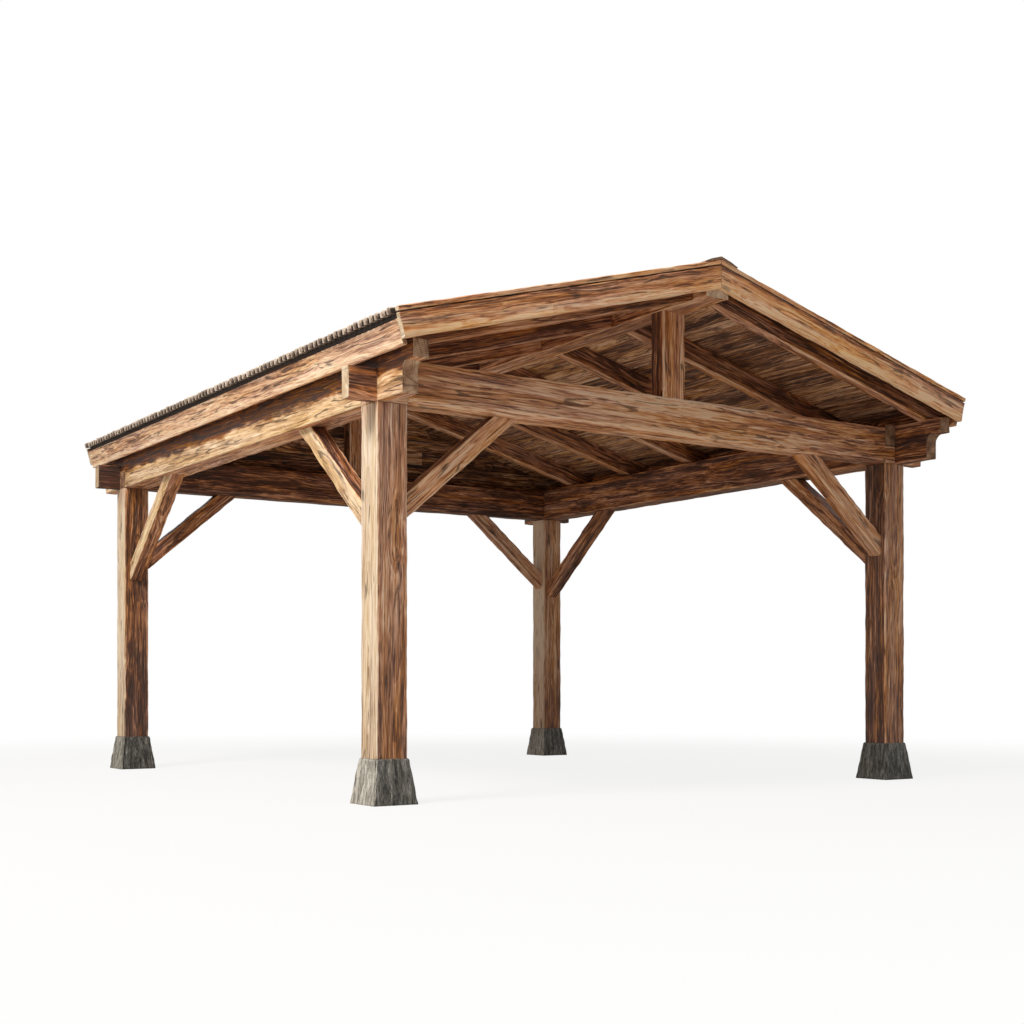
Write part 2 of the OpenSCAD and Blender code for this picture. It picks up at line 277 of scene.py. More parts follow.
# Each ring is a square with its corners knocked back, and narrows evenly from foot to top. Every point then
# sinks inwards by the stroke, which is the same all the way up, and by the rough, which changes with height.
for number, corner in enumerate(corners):
    rng = np.random.default_rng(100 + number)
    low, high = box(corner + "_plinth")
    middle = (low + high) / 2
    half_base = (high[0] - low[0]) / 2
    knocked = knock / half_base
    across = np.concatenate([[-1 + knocked * 0.4], np.linspace(-face_share, face_share, per_side)])
    outline = across[None, :, None] * side_way[:, None] + out_way[:, None]
    outline[:, 0] *= 1 - knocked * 0.5
    outward = np.repeat(out_way, len(across), 0)
    outline = outline.reshape(-1, 2)
    level = np.linspace(0.006, high[2] - 0.012, per_height)
    level = np.concatenate([[0], level, [high[2] - foot_knock, high[2]]])
    inset = np.zeros(len(level))
    inset[[0, -2, -1]] = foot_knock, foot_knock, knock
    half = half_base + (half_top - half_base) * level / high[2]
    stroke = ripple(np.column_stack([0 * outline[:, :1], outline]), rng, 1.0, 0.35, 14)
    flat = outline[None] * half[:, None, None]
    points = np.concatenate([flat, np.broadcast_to(level[:, None, None], (*flat.shape[:2], 1))], 2)
    rough = ripple(points.reshape(-1, 3)[:, [2, 0, 1]], rng, 0.35, 0.10, 16).reshape(len(level), -1)
    depth = stroke_deep * (1 + stroke) + rough_deep * (1 + rough) + inset[:, None]
    points[..., :2] += middle[:2] - depth[..., None] * outward
    add_piece(corner + "_plinth_stone", points, [tooled_stone], [corner + "_plinth"],
              {"tone": block_tones[number], "weather_and_light": block_weather_and_light[number]})


# ----------------------------------------
# Posts: boxed heart larch, 250 mm square, hewn on four sides and oiled, with
# drying checks along the grain; each stands dowelled on its plinth.
end_easing = 0.003


def spaced(start, end, step):
    """Places along a stick: evenly spaced, and each end one doubled for the eased end arris."""
    count = int(np.ceil((end - start) / step)) + 1
    return np.concatenate([[start], np.linspace(start + end_easing, end - end_easing, count), [end]])


def hewn_stick(name, node, start, along, up, places, sides, finishes, heart, seed, easing=0.008,
               hollow=0.005, run=(1.1, 0.35), cuts=(0.0, 0.0), tone=0.0, weather_and_light=0.0, lean=(0.0, 0.0),
               pale_edge=0.0, painted_edge_shade=0.0):
    """Carries a four-sided outline with eased corners along a straight line.

    At each place the outline is the rectangle sides = (left, right, bottom, top) about the line, each corner
    cut back by its easing; one of over 20 mm is a planed chamfer. Every point then sinks into the wood by
    hollow times (1 + ripple) / 2, so that arrises wander as hewn ones do; the run is the ripple's. The ends
    are sheared by cuts: a point moves on by the cut times its height. The grain runs along the stick past a
    heart that leans a little out of line, so that rings break out in arches. The tone is a shift of shade,
    one for all or for each place and each side in turn (bottom, right, top, left); callers set it for the
    wood's own shade and also as painted light and shade on single sides. The weather_and_light is how pale
    the side towards the lamp turns, partly bleaching and partly painted light, one for all or for each place.
    The eased arrises are paler, partly wear and partly a painted highlight. Below the share pale_edge of its
    height, a stick is rubbed smooth and pale; painted_edge_shade is how much darker its upper edge is
    painted, a painted shadow under what lies on it.
    """
    rng = np.random.default_rng(seed)
    left, right, bottom, top = (np.broadcast_to(side, places.shape) for side in sides)
    corner = np.stack([np.stack([left, bottom], 1), np.stack([right, bottom], 1),
                       np.stack([right, top], 1), np.stack([left, top], 1)], 1)
    easing = np.broadcast_to(easing, (len(places), 4))[..., None]
    wander = np.sin(places[:, None] * rng.uniform(5, 16, (1, 4)) + rng.uniform(0, 6, (1, 4)))
    wander = wander * np.sin(places[:, None] * rng.uniform(17, 41, (1, 4)) + rng.uniform(0, 6, (1, 4)))
    chamfered = easing > 0.02
    ease = np.where(chamfered, easing, easing * (1.1 + 0.35 * wander[..., None]))
    bow = np.where(chamfered, 0.5, 0.32)
    first = corner - ease * out_way
    middle = corner + bow * ease * (side_way - out_way)
    last = corner + ease * side_way
    share = np.array([0.07, 0.28, 0.5, 0.72, 0.93])[:, None]
    run_on = last[:, :, None] * (1 - share) + np.roll(first, -1, 1)[:, :, None] * share
    outline = np.concatenate([first[:, :, None], middle[:, :, None], last[:, :, None], run_on], 2)
    outline = outline.reshape(len(places), -1, 2)
    around = outline.shape[1]
    diagonal = 0.7071
    edge_out = (out_way + np.roll(out_way, 1, 0)) * diagonal
    outward = np.stack([edge_out] * 3 + [out_way] * 5, 1).reshape(around, 2)
    # Eased corners get a pale value: partly wear, partly a painted highlight where the edge catches the
    # light.
    arris = np.where(chamfered, 0.45, 1.0) * np.array([0.75, 1.0, 0.75, 0.1, 0.0, 0.0, 0.0, 0.1])
    raised = (outline[:1, :, 1] - bottom[0]) / (top[0] - bottom[0])
    arris = arris.reshape(len(places), around) + (pale_edge > 0) * np.clip((pale_edge - raised) / 0.2 + 0.6, 0, 1)
    solid = np.concatenate([np.broadcast_to(places[:, None, None], (len(places), around, 1)), outline], 2)
    sink = hollow * 0.5 * (1 + ripple(solid.reshape(-1, 3), rng, *run)).reshape(len(places), around)
    sink[[0, -1]] += end_easing
    solid[..., 1:] -= sink[..., None] * outward
    part = (places[:, None] - places[0]) / (places[-1] - places[0])
    solid[..., 0] += solid[..., 2] * (cuts[0] * (1 - part) + cuts[1] * part)
    flat = solid.reshape(-1, 3)
    points = np.array(start) + flat @ np.array([along, np.cross(up, along), up], float)
    grain = flat.copy()
    grain[:, 1:] -= np.array(heart) + np.array(lean) * flat[:, :1]
    grain[:, 0] += 20.0 * seed
    tone = np.repeat(np.broadcast_to(tone, (len(places), 4)), 8, 1)
    # The upper edge is painted darker: a painted shadow under what lies on the stick.
    tone = tone - painted_edge_shade * np.interp(raised, [0.72, 0.93, 0.97], [0.0, 0.6, 1.0])
    add_piece(name, points.reshape(solid.shape), finishes, [node],
              {"grain": grain.reshape(solid.shape), "tone": tone, "arris": arris,
               "weather_and_light": np.broadcast_to(weather_and_light, len(places))[:, None]})


def repeats(long, wide):
    """How often a pattern of a size in mm repeats in a metre, along the grain and twice across it."""
    return 1000 / long, 1000 / wide, 1000 / wide


def larch(name, shades, bleached_and_lit_shades, wave, crack, crack_share, jump=0.004, shadow_line=9.0, mottle=1.0):
    """Long grain of larch: rings about the heart, warped round knots, then streaks, fibres, flecks, cracks.

    Every pattern is noise stretched to its real size in mm, along and across the grain; wave is how far the
    grain wanders across, in m. Cracks follow the middle level of a noise of the size crack, step sideways by
    up to the jump where they cross from block to block, and open only in part. The shades go from darkest to
    palest, and mottle is how strongly the broad streaks and patches show. Sides that face the weather and the
    lamp on the left take the paler bleached_and_lit_shades by the stick's own measure, partly bleaching and
    partly painted light; above the shadow_line they are painted darker and browner, a painted eave shadow.
    """
    finish, tree = blank(bpy.data.materials, name)
    grain = add(tree, "Attribute", out="Vector", attribute_name="grain")
    shift = add(tree, "Attribute", out="Fac", attribute_name="tone")
    arris = add(tree, "Attribute", out="Fac", attribute_name="arris")
    scaled = add(tree, "VectorMath", {0: grain, 1: repeats(900, 330)}, operation="MULTIPLY")
    off = add(tree, "TexVoronoi", {"Vector": scaled, "Scale": 1.0}, out="Distance")
    knot = add(tree, "MapRange", {"Value": off, "From Min": 0.08, "From Max": 0.03},
               interpolation_type="SMOOTHSTEP")
    bulge = add(tree, "MapRange", {"Value": off, "From Min": 0.42, "From Max": 0.06, "To Max": 0.026},
                interpolation_type="SMOOTHSTEP")
    scaled = add(tree, "VectorMath", {0: grain, 1: repeats(700, 190)}, operation="MULTIPLY")
    swirl = add(tree, "TexNoise", {"Vector": scaled, "Scale": 1.0, "Detail": 2.0}, out="Color")
    swirl = add(tree, "VectorMath", {0: swirl, 1: (0.5, 0.5, 0.5)}, operation="SUBTRACT")
    swirl = add(tree, "VectorMath", {0: swirl, 1: (0.0, wave, wave)}, operation="MULTIPLY")
    bent = add(tree, "VectorMath", {0: grain, 1: swirl}, operation="ADD")
    push = add(tree, "CombineXYZ", {1: bulge, 2: bulge})
    bent = add(tree, "VectorMath", {0: bent, 1: push}, operation="ADD")
    scaled = add(tree, "VectorMath", {0: bent, 1: repeats(260, 55)}, operation="MULTIPLY")
    block = add(tree, "TexVoronoi", {"Vector": scaled, "Scale": 1.0}, out="Color")
    block = add(tree, "VectorMath", {0: block, 1: (0.0, jump, jump), 2: bent}, operation="MULTIPLY_ADD")
    pattern = {}
    sizes = {"fibre": (330, 13, 3.0), "streak": (1500, 42, 2.0), "fleck": (150, 11, 1.0),
             "glint": (190, 12, 1.0), "patch": (900, 240, 2.0), "broken": (260, 70, 2.0),
             "hue": (1300, 75, 2.0), "crack": (*crack, 0.6)}
    for part, (long, wide, detail) in sizes.items():
        scaled = add(tree, "VectorMath", {0: block if part == "crack" else bent, 1: repeats(long, wide)},
                     operation="MULTIPLY")
        pattern[part] = add(tree, "TexNoise", {"Vector": scaled, "Scale": 1.0, "Detail": detail,
                                               "Roughness": 0.6})
    radial = add(tree, "VectorMath", {0: bent, 1: (0.0, 1000 / 14, 1000 / 14)}, operation="MULTIPLY")
    radius = add(tree, "VectorMath", {0: radial}, out="Value", operation="LENGTH")
    radius = add(tree, "Math", {0: pattern["patch"], 1: 3.0, 2: radius}, operation="MULTIPLY_ADD")
    late = add(tree, "Math", {0: radius}, operation="FRACT")
    late = add(tree, "Math", {0: late, 1: 2.0}, operation="POWER")
    fleck = add(tree, "MapRange", {"Value": pattern["fleck"], "From Min": 0.55, "From Max": 0.66})
    glint = add(tree, "MapRange", {"Value": pattern["glint"], "From Min": 0.56, "From Max": 0.67})
    tone = add(tree, "Math", {0: pattern["streak"], 1: 0.56 * mottle, 2: 0.08 - 0.44 * mottle},
               operation="MULTIPLY_ADD")
    for layer, weight in [(pattern["fibre"], 0.92), (pattern["patch"], 0.32 * mottle), (fleck, -0.10),
                          (glint, 0.13), (late, -0.12)]:
        tone = add(tree, "Math", {0: layer, 1: weight, 2: tone}, operation="MULTIPLY_ADD")
    tone = add(tree, "Math", {0: shift, 1: tone}, operation="ADD")
    # Pale edges along the arrises and the rubbed band, broken up: partly wear, partly a painted highlight.
    pale_edge = add(tree, "Math", {0: pattern["broken"], 1: 1.2, 2: -0.6}, operation="MULTIPLY_ADD")
    pale_edge = add(tree, "Math", {0: arris, 1: pale_edge}, operation="ADD")
    pale_edge = add(tree, "MapRange", {"Value": pale_edge, "From Min": 0.45, "From Max": 0.75})
    # Painted eave shadow: above the shadow line, with a broken edge, the lamp side is painted darker.
    up = add(tree, "SeparateXYZ", {0: add(tree, "TexCoord", out="Object")}, out="Z")
    edge = add(tree, "Math", {0: pattern["broken"], 1: 0.16, 2: up}, operation="MULTIPLY_ADD")
    under_eave_shadow = add(tree, "MapRange", {"Value": edge, "From Min": shadow_line + 0.06, "From Max": shadow_line + 0.12})
    exposed_and_lit = bleached_and_lit(tree, -0.3, -0.75)
    shaded = add(tree, "Math", {0: exposed_and_lit, 1: under_eave_shadow}, operation="MULTIPLY")
    for layer, weight in [(pale_edge, 0.12), (shaded, -0.12)]:
        tone = add(tree, "Math", {0: layer, 1: weight, 2: tone}, operation="MULTIPLY_ADD")
    weather_and_light = add(tree, "Math", {0: exposed_and_lit, 1: shaded}, operation="SUBTRACT")
    # Two copies of the shades: the darker for the other sides and the painted eave shadow, the paler for the
    # lamp side, partly bleaching and partly painted light.
    steps = [0.0, 0.27, 0.38, 0.50, 0.62, 0.75]
    sheltered_and_shaded, pale_and_lit = (add(tree, "ValToRGB", {"Fac": tone}, stops=zip(steps, ["#24130a"] + colours))
                       for colours in (shades, bleached_and_lit_shades))
    tint = add(tree, "Mix", {0: weather_and_light, 6: sheltered_and_shaded, 7: pale_and_lit}, out=2, data_type="RGBA")
    turn = add(tree, "Math", {0: pattern["hue"], 1: 0.022, 2: 0.487}, operation="MULTIPLY_ADD")
    depth = add(tree, "Math", {0: pattern["hue"], 1: 0.8, 2: 0.58}, operation="MULTIPLY_ADD")
    # The painted eave shadow is also more saturated and lower in value.
    depth = add(tree, "Math", {0: shaded, 1: 0.35, 2: depth}, operation="MULTIPLY_ADD")
    dark = add(tree, "Math", {0: shaded, 1: -0.58, 2: 1.0}, operation="MULTIPLY_ADD")
    tint = add(tree, "HueSaturation", {"Hue": turn, "Saturation": depth, "Value": dark, "Color": tint})
    line = add(tree, "Math", {0: pattern["crack"], 1: 0.5}, operation="SUBTRACT")
    line = add(tree, "Math", {0: line}, operation="ABSOLUTE")
    line = add(tree, "MapRange", {"Value": line, "From Min": 2.2 / crack[1], "From Max": 0.8 / crack[1]})
    gate = add(tree, "MapRange", {"Value": pattern["broken"], "From Min": 0.60 - 0.2 * crack_share,
                                  "From Max": 0.68 - 0.2 * crack_share})
    split = add(tree, "Math", {0: line, 1: gate}, operation="MULTIPLY")
    whole = add(tree, "Math", {0: 1.0, 1: pale_edge}, operation="SUBTRACT")
    split = add(tree, "Math", {0: split, 1: whole}, operation="MULTIPLY")
    for layer, strength, colour in [(knot, 0.55, "#4a2b18"), (split, 0.7, "#2b180d")]:
        cover = add(tree, "Math", {0: layer, 1: strength}, operation="MULTIPLY")
        tint = add(tree, "Mix", {0: cover, 6: tint, 7: srgb(colour)}, out=2, data_type="RGBA")
    height = add(tree, "Math", {0: pattern["fibre"], 1: 0.0045}, operation="MULTIPLY")
    for layer, deep in [(fleck, -0.0010), (pattern["streak"], 0.010), (late, 0.0008), (split, -0.004)]:
        height = add(tree, "Math", {0: layer, 1: deep, 2: height}, operation="MULTIPLY_ADD")
    dull = add(tree, "MapRange", {"Value": tone, "From Min": 0.3, "From Max": 0.7, "To Min": 0.6,
                                  "To Max": 0.8})
    close_skin(tree, tint, dull, height)
    return finish


# Hewn larch under oil: red brown heartwood with honey streaks, dull and open grained. Straw where it faces
# the weather and the lamp on the left, partly bleaching and partly painted light; above the eave's shadow
# line it is painted darker, a painted eave shadow.
eave_shadow_line = 3.02
hewn_larch = larch("hewn and oiled larch", ["#513020", "#815639", "#b07b56", "#cf9d78", "#e6c6a9"],
                   ["#a48768", "#c0a485", "#d2bb9f", "#dfcdb4", "#e8dac5"], 0.035, (1000, 60), 0.3,
                   shadow_line=eave_shadow_line)

# Sawn ends of larch: rings round the heart and fine checks running out from it, paler than the faces.
end_grain, tree = blank(bpy.data.materials, "sawn larch end grain")
grain = add(tree, "Attribute", out="Vector", attribute_name="grain")
flat = add(tree, "VectorMath", {0: grain, 1: (0.0, 1.0, 1.0)}, operation="MULTIPLY")
cloud = add(tree, "TexNoise", {"Vector": grain, "Scale": 14.0, "Detail": 3.0})
radius = add(tree, "VectorMath", {0: flat}, out="Value", operation="LENGTH")
ring = add(tree, "Math", {0: radius, 1: 1000 / 13, 2: cloud}, operation="MULTIPLY_ADD")
ring = add(tree, "Math", {0: ring}, operation="FRACT")
ring = add(tree, "Math", {0: ring, 1: 2.0}, operation="POWER")
ray = add(tree, "VectorMath", {0: flat}, operation="NORMALIZE")
split = add(tree, "TexNoise", {"Vector": ray, "Scale": 4.0, "Detail": 3.0})
split = add(tree, "Math", {0: split, 1: 0.5}, operation="SUBTRACT")
split = add(tree, "Math", {0: split}, operation="ABSOLUTE")
split = add(tree, "MapRange", {"Value": split, "From Min": 0.022, "From Max": 0.004})
tone = add(tree, "Math", {0: ring, 1: -0.24, 2: cloud}, operation="MULTIPLY_ADD")
shift = add(tree, "Attribute", out="Fac", attribute_name="tone")
tone = add(tree, "Math", {0: shift, 1: tone}, operation="ADD")
fresh_and_shaded = add(tree, "ValToRGB", {"Fac": tone}, stops=[(0.0, "#4a3122"), (0.2, "#7d5b43"), (0.42, "#a67f63"),
                                                    (0.62, "#c9a88b"), (0.8, "#e6d1bb")])
# The paler copy of the ring shades goes on the lamp side: partly bleaching, partly painted light.
pale_and_lit = add(tree, "ValToRGB", {"Fac": tone}, stops=[(0.2, "#bda385"), (0.42, "#d8c4a8"), (0.62, "#e6d8c2")])
weather_and_light = bleached_and_lit(tree, -0.35, -0.85)
tint = add(tree, "Mix", {0: weather_and_light, 6: fresh_and_shaded, 7: pale_and_lit}, out=2, data_type="RGBA")
cover = add(tree, "Math", {0: split, 1: 0.6}, operation="MULTIPLY")
tint = add(tree, "Mix", {0: cover, 6: tint, 7: srgb("#3a2416")}, out=2, data_type="RGBA")
height = add(tree, "Math", {0: split, 1: -0.003}, operation="MULTIPLY")
height = add(tree, "Math", {0: ring, 1: 0.0008, 2: height}, operation="MULTIPLY_ADD")
close_skin(tree, tint, 0.85, height, 0.8)

post_timber = [hewn_larch, end_grain]
seat = 0.004
# Per post, tones by side (front, right, rear, left) and a share of the pale lamp-side shades, as painted
# light and shade: the rear right post's left face is lighter, the front right post's left face and the rear
# left's front are darker, and the front right post takes none of the pale shades.
post_tones = [[0.01, 0.0, 0.0, 0.0], [0.0, -0.03, -0.03, -0.14], [-0.17, -0.1, 0.0, 0.02],
              [0.06, 0.0, 0.0, 0.25]]
post_weather_and_light = [1.0, 0.0, 1.0, 0.4]
for number, corner in enumerate(corners):
    low, high = box(corner + "_post")
    middle = (low + high) / 2
    half = (high[0] - low[0]) / 2
    places = spaced(low[2] - seat, high[2], 0.03)
    # Near the beam the pale share falls to half: painted shade under the beam.
    shade_under_beam = np.interp(high[2] - places, [0.0, 0.25], [0.5, 1.0])
    at_foot = np.interp(places, [0.7, 1.3], [-0.10, 0.0])[:, None]
    hewn_stick(corner + "_post_hewn", corner + "_post", [middle[0], middle[1], 0.0],
               [0, 0, 1], [0, 1, 0], places, (-half, half, -half, half), post_timber,
               heart=(0.02 - 0.01 * number, 0.015), seed=11 + number, easing=0.009, hollow=0.004,
               tone=np.array(post_tones[number]) + at_foot, weather_and_light=post_weather_and_light[number] * shade_under_beam,
               lean=(0.012, -0.01))


# ----------------------------------------
# Tie beams: one hewn stick across each gable, halved where the plates lap over
# it, chamfered below between the posts, its ends cut down to pass the eave.

# Beam larch comes from broader, older trees than the posts: its shades change more and it has checked more.
beam_larch = larch("hewn and oiled beam larch", ["#552f1c", "#875636", "#b87b51", "#d79e72", "#ecc6a3"],
                   ["#aa8660", "#c8a479", "#dbbd93", "#e8cfa8", "#f0dcbc"], 0.035, (1000, 60), 0.6,
                   shadow_line=eave_shadow_line, mottle=1.35)
beam_timber = [beam_larch, end_grain]
plate_low, plate_high = box("right_eave_plate")
tie_lap = 0.160
tie_stub = 0.235
tie_stub_thick = 0.110
tie_chamfer = 0.045
beam_easing = 0.009
# The shoulder is the bit of a stick's length in which a lap's height changes.
shoulder = 0.0005
for number, gable in enumerate(["front", "rear"]):
    low, high = box(gable + "_tie_beam")
    half = (high[1] - low[1]) / 2
    reach = [spaced(low[0], -plate_high[0], 0.03)[:-1], [shoulder / 2 - plate_high[0]],
             spaced(-plate_high[0] + shoulder, -plate_low[0] - shoulder, 0.05),
             spaced(-plate_low[0], plate_low[0], 0.03),
             spaced(plate_low[0] + shoulder, plate_high[0] - shoulder, 0.05), [plate_high[0] - shoulder / 2],
             spaced(plate_high[0], high[0], 0.03)[1:]]
    tops = [tie_stub, tie_lap, tie_lap, high[2] - low[2], tie_lap, tie_lap, tie_stub]
    places = np.concatenate(reach)
    top = np.repeat(tops, [len(part) for part in reach])
    easing = np.full((len(places), 4), beam_easing)
    easing[np.abs(places) < plate_low[0] - 0.001, :2] = tie_chamfer
    behind = np.where(np.abs(places) > plate_high[0] - 0.8 * shoulder, tie_stub_thick - half, half)
    faces = (-half, behind) if gable == "front" else (-behind, half)
    stub = np.abs(places) > plate_high[0]
    # Tones along the tie beams, as painted shade: the front beam darker towards its right end and on its
    # stubs, the rear beam darker all along and darker still on its stubs.
    tone = np.interp(places, [-1.0, 0.2, 0.6, 1.2, 2.0], [0.09, 0.14, 0.14, 0.03, -0.03])
    tone = np.where(stub, -0.10, tone) if gable == "front" else -0.18 - 0.19 * stub
    hewn_stick(gable + "_tie_beam_hewn", gable + "_tie_beam",
               [0.0, (low[1] + high[1]) / 2, low[2]], [1, 0, 0], [0, 0, 1], places, (*faces, 0.0, top),
               beam_timber, heart=(0.02, 0.17), seed=21 + number, easing=easing, tone=tone[:, None],
               weather_and_light=stub & (places < 0), lean=(0.01, -0.015))


# ----------------------------------------
# Eave plates: the long beams that carry the rafters, lapped down over the tie
# beams; each end runs on under the gable and is cut to a cove and a lip.
tie_low, tie_high = box("rear_tie_beam")
tail_low = 0.365
tail_thick = 0.125
cove = 0.075
lip = 0.134
# The underside steps up by the lap over the tie beam, and past the tail rises by a quarter round to the lip.
for number, side in enumerate(["left", "right"]):
    low, high = box(side + "_eave_plate")
    half = (high[0] - low[0]) / 2
    height = high[2] - low[2]
    nose = tie_high[1] + tail_low
    turn = np.linspace(0, np.pi / 2, 13)
    inner = spaced(-tie_low[1], tie_low[1], 0.03)
    lap = spaced(tie_low[1] + shoulder, tie_high[1] - shoulder, 0.05)
    tail = np.linspace(tie_high[1], nose, 16)
    round_under = nose + shoulder + cove * (1 - np.cos(turn))
    lip_run = np.linspace(nose + cove + 0.004, high[1] - end_easing, 4)
    outer = np.concatenate([lap, [tie_high[1] - shoulder / 2], tail, round_under, lip_run, [high[1]]])
    under = np.concatenate([np.full(len(lap) + 1, tie_lap), np.zeros(len(tail)),
                            height - lip - cove + cove * np.sin(turn),
                            np.full(len(lip_run) + 1, height - lip)])
    places = np.concatenate([-outer[::-1], inner, outer])
    bottom = np.concatenate([under[::-1], np.zeros(len(inner)), under])
    behind = np.where(np.abs(places) > tie_high[1] - 0.8 * shoulder, tail_thick - half, half)
    # Over the lap on the tie beam the plates are painted darker: painted shade.
    lapped = (np.abs(places) > tie_low[1]) & (np.abs(places) <= tie_high[1])
    if side == "left":
        faces = (-behind, half)
        weather_and_light = np.where(np.abs(places) > tie_high[1], 0.6, 0.85)
        # The left plate's underside is painted lighter and its other sides darker: painted light and shade.
        tone = [0.06, -0.05, -0.05, -0.05] - 0.05 * lapped[:, None]
    else:
        faces = (-half, behind)
        weather_and_light = 0.0
        # The right plate is painted darker all round: painted shade.
        tone = -0.12 - 0.05 * lapped[:, None]
    hewn_stick(side + "_eave_plate_hewn", side + "_eave_plate",
               [(low[0] + high[0]) / 2, 0.0, low[2]], [0, 1, 0], [0, 0, 1], places, (*faces, bottom, height),
               beam_timber, heart=(0.03, 0.12), seed=31 + number, easing=beam_easing, tone=tone,
               weather_and_light=weather_and_light, lean=(0.015, 0.02))


# ----------------------------------------
# Knee braces: short hewn sticks, a little flatter than 45 degrees, tenoned into
# post and beam: one to the tie beam and a longer one to the plate at every corner.
brace_deep = 0.145
deep_seat = 0.006
# Tones by side (underside, one face, upper side, other face) are painted light and shade: the upper sides are
# darker, the tie braces' faces lighter, and the rear left tie brace is darker still.
braces = [("tie", 0.880, 0.740, [0.02, 0.11, -0.14, 0.11]),
          ("plate", 1.060, 0.850, [-0.08, -0.03, -0.16, -0.03])]
for number, corner in enumerate(corners):
    for axis, (toward, reach, drop, tones) in enumerate(braces):
        node = corner + "_" + toward + "_brace"
        low, high = box(node)
        inward = -np.sign(low[axis] + high[axis])
        steep = np.arctan(drop / reach)
        thick = (high[1 - axis] - low[1 - axis]) / 2
        start = (low + high) / 2
        start[axis] = high[axis] if inward < 0 else low[axis]
        start[2] = high[2] - drop
        along = np.zeros(3)
        along[[axis, 2]] = inward * np.cos(steep), np.sin(steep)
        up = np.zeros(3)
        up[[axis, 2]] = -inward * np.sin(steep), np.cos(steep)
        hewn_stick(node + "_hewn", node, start, along, up,
                   spaced(-deep_seat, np.hypot(reach, drop) + deep_seat, 0.02),
                   (-thick, thick, -brace_deep / 2, brace_deep / 2), beam_timber, heart=(0.02, 0.03),
                   seed=41 + 2 * number + axis, easing=0.010, run=(0.5, 0.22),
                   cuts=(np.tan(steep), -1 / np.tan(steep)),
                   tone=np.array(tones) - 0.2 * (node == "rear_left_tie_brace"),
                   weather_and_light=float(axis == 1 and "left" in corner))


# ----------------------------------------
# King posts and ridge beam: a stout post stands on the middle of each tie beam
# and carries the ridge beam, whose top is bevelled to both slopes.
pitch = np.radians(15)
ridge_low, ridge_high = box("ridge_beam")
for number, gable in enumerate(["front", "rear"]):
    low, high = box(gable + "_king_post")
    middle = (low + high) / 2
    half = (high - low) / 2
    # The king posts' front is painted lighter and their left side darker: painted light and shade.
    hewn_stick(gable + "_king_post_hewn", gable + "_king_post", [middle[0], middle[1], 0.0],
               [0, 0, 1], [0, 1, 0], spaced(low[2] - deep_seat, high[2] + deep_seat, 0.025),
               (-half[0], half[0], -half[1], half[1]), beam_timber, heart=(0.03, -0.04), seed=61 + number,
               run=(0.6, 0.25), tone=[0.08, 0.0, 0.0, -0.22])

bevel_foot = ridge_high[2] - ridge_low[2] - ridge_high[0] * np.tan(pitch)
places = spaced(ridge_low[1], ridge_high[1], 0.04)
hewn_stick("ridge_beam_hewn", "ridge_beam", [0.0, 0.0, ridge_low[2]], [0, 1, 0], [0, 0, 1],
           places, (ridge_low[0], ridge_high[0], 0.0, bevel_foot), beam_timber, heart=(0.02, 0.09), seed=71,
           hollow=0.004, tone=0.3 * (np.abs(places) > ridge_high[1] - 0.002)[:, None])


# ----------------------------------------
# Rafters: seven pairs of sawn and dressed larch on edge, seated on the plates
# with a birdsmouth, their heads cut plumb against the ridge beam.
fascia_thick = 0.040
fascia_end = box("right_fascia")[1][0] / np.cos(pitch)
rafter_end = fascia_end - fascia_thick
rafter_deep = 0.175
rafter_head = ridge_high[0] / np.cos(pitch) - seat
rafter_pairs = 7
peak = np.array([0.0, 0.0, ridge_high[2]])
# Each slope has its side, its sign along X, and its ways down and out.
slopes = [(side, turned, np.array([turned * np.cos(pitch), 0.0, -np.sin(pitch)]),
           np.array([turned * np.sin(pitch), 0.0, np.cos(pitch)]))
          for side, turned in [("left", -1), ("right", 1)]]
rafter_lines = []
for side, turned, down, out in slopes:
    for number in range(1, rafter_pairs + 1):
        node = side + "_rafter_%d" % number
        low, high = box(node)
        half = (high[1] - low[1]) / 2
        middle = (low[1] + high[1]) / 2
        rafter_lines.append(middle)
        # The rafters' sides and tops are painted darker than their undersides: painted shade under the roof.
        hewn_stick(node + "_dressed", node, [0.0, middle, ridge_high[2]], down, out,
                   spaced(rafter_head, rafter_end, 0.06), (-half, half, -rafter_deep, 0.0), beam_timber,
                   heart=(0.03, -0.02), seed=81 + number + (turned > 0) * rafter_pairs, easing=0.007,
                   hollow=0.003, run=(0.8, 0.3), cuts=(-np.tan(pitch), 0.0), tone=[0.02, -0.12, -0.10, -0.12])


# ----------------------------------------
# Boarding: sawn boards laid along the ridge on the rafters, edge to edge with an
# eased vee and butted over them; the same boards close the rear gable, level.

# Sawn larch under a roof: never oiled again, so it has gone dark and dusty brown, streaked along the board.
dark_shades = ["#2b160b", "#52301b", "#835637", "#b9865d", "#dfb287"]
dark_boards = larch("sawn larch roof boards", dark_shades, dark_shades, 0.06, (900, 60), 0.5, mottle=1.25)

board_thick = 0.038
board_wide = 0.150
board_lap = 0.015
board_vee = 0.006
board_gap = 0.0002
board_cup = 0.0025
board_uneven = 0.0012


